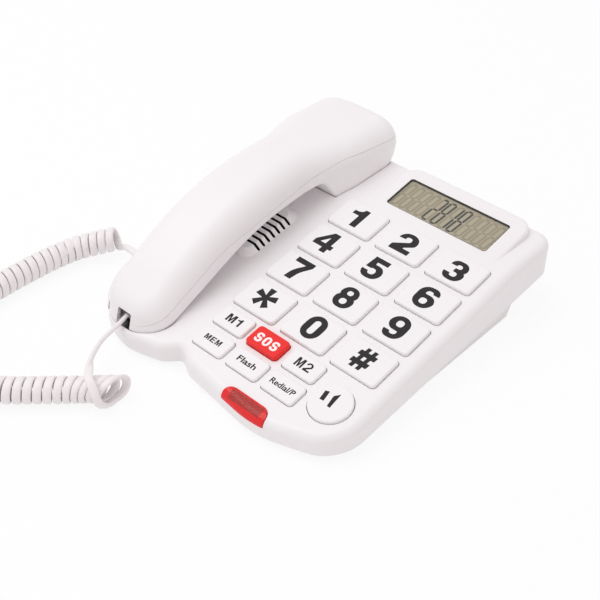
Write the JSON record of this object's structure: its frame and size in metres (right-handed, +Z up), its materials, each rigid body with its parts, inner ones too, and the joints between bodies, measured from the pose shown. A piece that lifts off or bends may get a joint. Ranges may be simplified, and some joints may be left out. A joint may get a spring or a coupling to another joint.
{
  "type": "corded landline phone",
  "caption": "Corded desk telephone with large raised keys, a tilted display, a front lamp, a speaker grille under the handset, and a handset on a curly cord.",
  "frame": {"origin": "on the table, under the middle of the phone's plan, cord left out", "axes": "+X to the right of someone using the phone, +Y to the rear, +Z up"},
  "size_m": [0.2104, 0.261, 0.0616],
  "materials": {
    "case_white": "fine satin moulding",
    "key_white": "satin moulding, printed legend",
    "key_red": "satin moulding, printed legend",
    "lamp_red": "clear red moulding",
    "window_clear": "clear moulding",
    "lcd": "matt liquid-crystal panel",
    "part_black": "moulded",
    "part_white": "moulded",
    "board_green": "solder resist",
    "rubber_grey": "matt",
    "rubber_black": "matt",
    "steel": "zinc plated",
    "plug_clear": "clear moulding",
    "cord_white": "smooth flexible sheath"
  },
  "bodies": {
    "base": {"upper_housing": "case_white", "bottom_cover": "case_white", "display_window": "window_clear", "lcd_glass": "lcd", "lcd_frame": "part_black", "main_board": "board_green", "key_mat": "rubber_grey", "loudspeaker": "part_black", "hook_switch": "part_black", "line_socket": "part_black", "base_cord_socket": "part_black", "base_plug": "plug_clear", "lamp_lens": "lamp_red", "lamp_board": "board_green", "lamp_leds": "part_white", "rubber_feet": "rubber_black", "case_screws": "steel", "cord_coil": "cord_white", "cord_base_lead": "cord_white"},
    "handset": {"handset_back_shell": "case_white", "handset_face_shell": "case_white", "receiver_capsule": "part_black", "handset_microphone": "part_black", "handset_weight": "steel", "handset_screws": "steel", "handset_socket": "part_black", "handset_plug": "plug_clear", "cord_handset_lead": "cord_white"},
    "hook_plunger": {"hook_plunger": "part_white"},
    "key_1": {"key_1": "key_white"},
    "key_2": {"key_2": "key_white"},
    "key_3": {"key_3": "key_white"},
    "key_4": {"key_4": "key_white"},
    "key_5": {"key_5": "key_white"},
    "key_6": {"key_6": "key_white"},
    "key_7": {"key_7": "key_white"},
    "key_8": {"key_8": "key_white"},
    "key_9": {"key_9": "key_white"},
    "key_star": {"key_star": "key_white"},
    "key_0": {"key_0": "key_white"},
    "key_hash": {"key_hash": "key_white"},
    "key_m1": {"key_m1": "key_white"},
    "key_sos": {"key_sos": "key_red"},
    "key_m2": {"key_m2": "key_white"},
    "key_mem": {"key_mem": "key_white"},
    "key_flash": {"key_flash": "key_white"},
    "key_redial": {"key_redial": "key_white"},
    "key_speaker": {"key_speaker": "key_white"}
  },
  "joints": [
    {"name": "handset_lift", "type": "slide", "parent": "base", "child": "handset", "axis": [0, 0.2805, 0.9599], "range_m": [0, 0.06]},
    {"name": "hook_rise", "type": "slide", "parent": "base", "child": "hook_plunger", "axis": [0, -0.1687, 0.9857], "range_m": [0, 0.004]},
    {"name": "key_1_press", "type": "slide", "parent": "base", "child": "key_1", "axis": [0, 0.1687, -0.9857], "range_m": [0, 0.0015], "stiffness_N_per_m": 300},
    {"name": "key_2_press", "type": "slide", "parent": "base", "child": "key_2", "axis": [0, 0.1687, -0.9857], "range_m": [0, 0.0015], "stiffness_N_per_m": 300},
    {"name": "key_3_press", "type": "slide", "parent": "base", "child": "key_3", "axis": [0, 0.1687, -0.9857], "range_m": [0, 0.0015], "stiffness_N_per_m": 300},
    {"name": "key_4_press", "type": "slide", "parent": "base", "child": "key_4", "axis": [0, 0.1687, -0.9857], "range_m": [0, 0.0015], "stiffness_N_per_m": 300},
    {"name": "key_5_press", "type": "slide", "parent": "base", "child": "key_5", "axis": [0, 0.1687, -0.9857], "range_m": [0, 0.0015], "stiffness_N_per_m": 300},
    {"name": "key_6_press", "type": "slide", "parent": "base", "child": "key_6", "axis": [0, 0.1687, -0.9857], "range_m": [0, 0.0015], "stiffness_N_per_m": 300},
    {"name": "key_7_press", "type": "slide", "parent": "base", "child": "key_7", "axis": [0, 0.1687, -0.9857], "range_m": [0, 0.0015], "stiffness_N_per_m": 300},
    {"name": "key_8_press", "type": "slide", "parent": "base", "child": "key_8", "axis": [0, 0.1687, -0.9857], "range_m": [0, 0.0015], "stiffness_N_per_m": 300},
    {"name": "key_9_press", "type": "slide", "parent": "base", "child": "key_9", "axis": [0, 0.1687, -0.9857], "range_m": [0, 0.0015], "stiffness_N_per_m": 300},
    {"name": "key_star_press", "type": "slide", "parent": "base", "child": "key_star", "axis": [0, 0.1687, -0.9857], "range_m": [0, 0.0015], "stiffness_N_per_m": 300},
    {"name": "key_0_press", "type": "slide", "parent": "base", "child": "key_0", "axis": [0, 0.1687, -0.9857], "range_m": [0, 0.0015], "stiffness_N_per_m": 300},
    {"name": "key_hash_press", "type": "slide", "parent": "base", "child": "key_hash", "axis": [0, 0.1687, -0.9857], "range_m": [0, 0.0015], "stiffness_N_per_m": 300},
    {"name": "key_m1_press", "type": "slide", "parent": "base", "child": "key_m1", "axis": [0, 0.1687, -0.9857], "range_m": [0, 0.0015], "stiffness_N_per_m": 300},
    {"name": "key_sos_press", "type": "slide", "parent": "base", "child": "key_sos", "axis": [0, 0.1687, -0.9857], "range_m": [0, 0.0015], "stiffness_N_per_m": 300},
    {"name": "key_m2_press", "type": "slide", "parent": "base", "child": "key_m2", "axis": [0, 0.1687, -0.9857], "range_m": [0, 0.0015], "stiffness_N_per_m": 300},
    {"name": "key_mem_press", "type": "slide", "parent": "base", "child": "key_mem", "axis": [0, 0.1687, -0.9857], "range_m": [0, 0.0015], "stiffness_N_per_m": 300},
    {"name": "key_flash_press", "type": "slide", "parent": "base", "child": "key_flash", "axis": [0, 0.1687, -0.9857], "range_m": [0, 0.0015], "stiffness_N_per_m": 300},
    {"name": "key_redial_press", "type": "slide", "parent": "base", "child": "key_redial", "axis": [0, 0.1687, -0.9857], "range_m": [0, 0.0015], "stiffness_N_per_m": 300},
    {"name": "key_speaker_press", "type": "slide", "parent": "base", "child": "key_speaker", "axis": [0, 0.1687, -0.9857], "range_m": [0, 0.0015], "stiffness_N_per_m": 300}
  ],
  "couplings": [
    {"joint": "hook_rise", "follows": "handset_lift", "ratio": 0.0666}
  ]
}
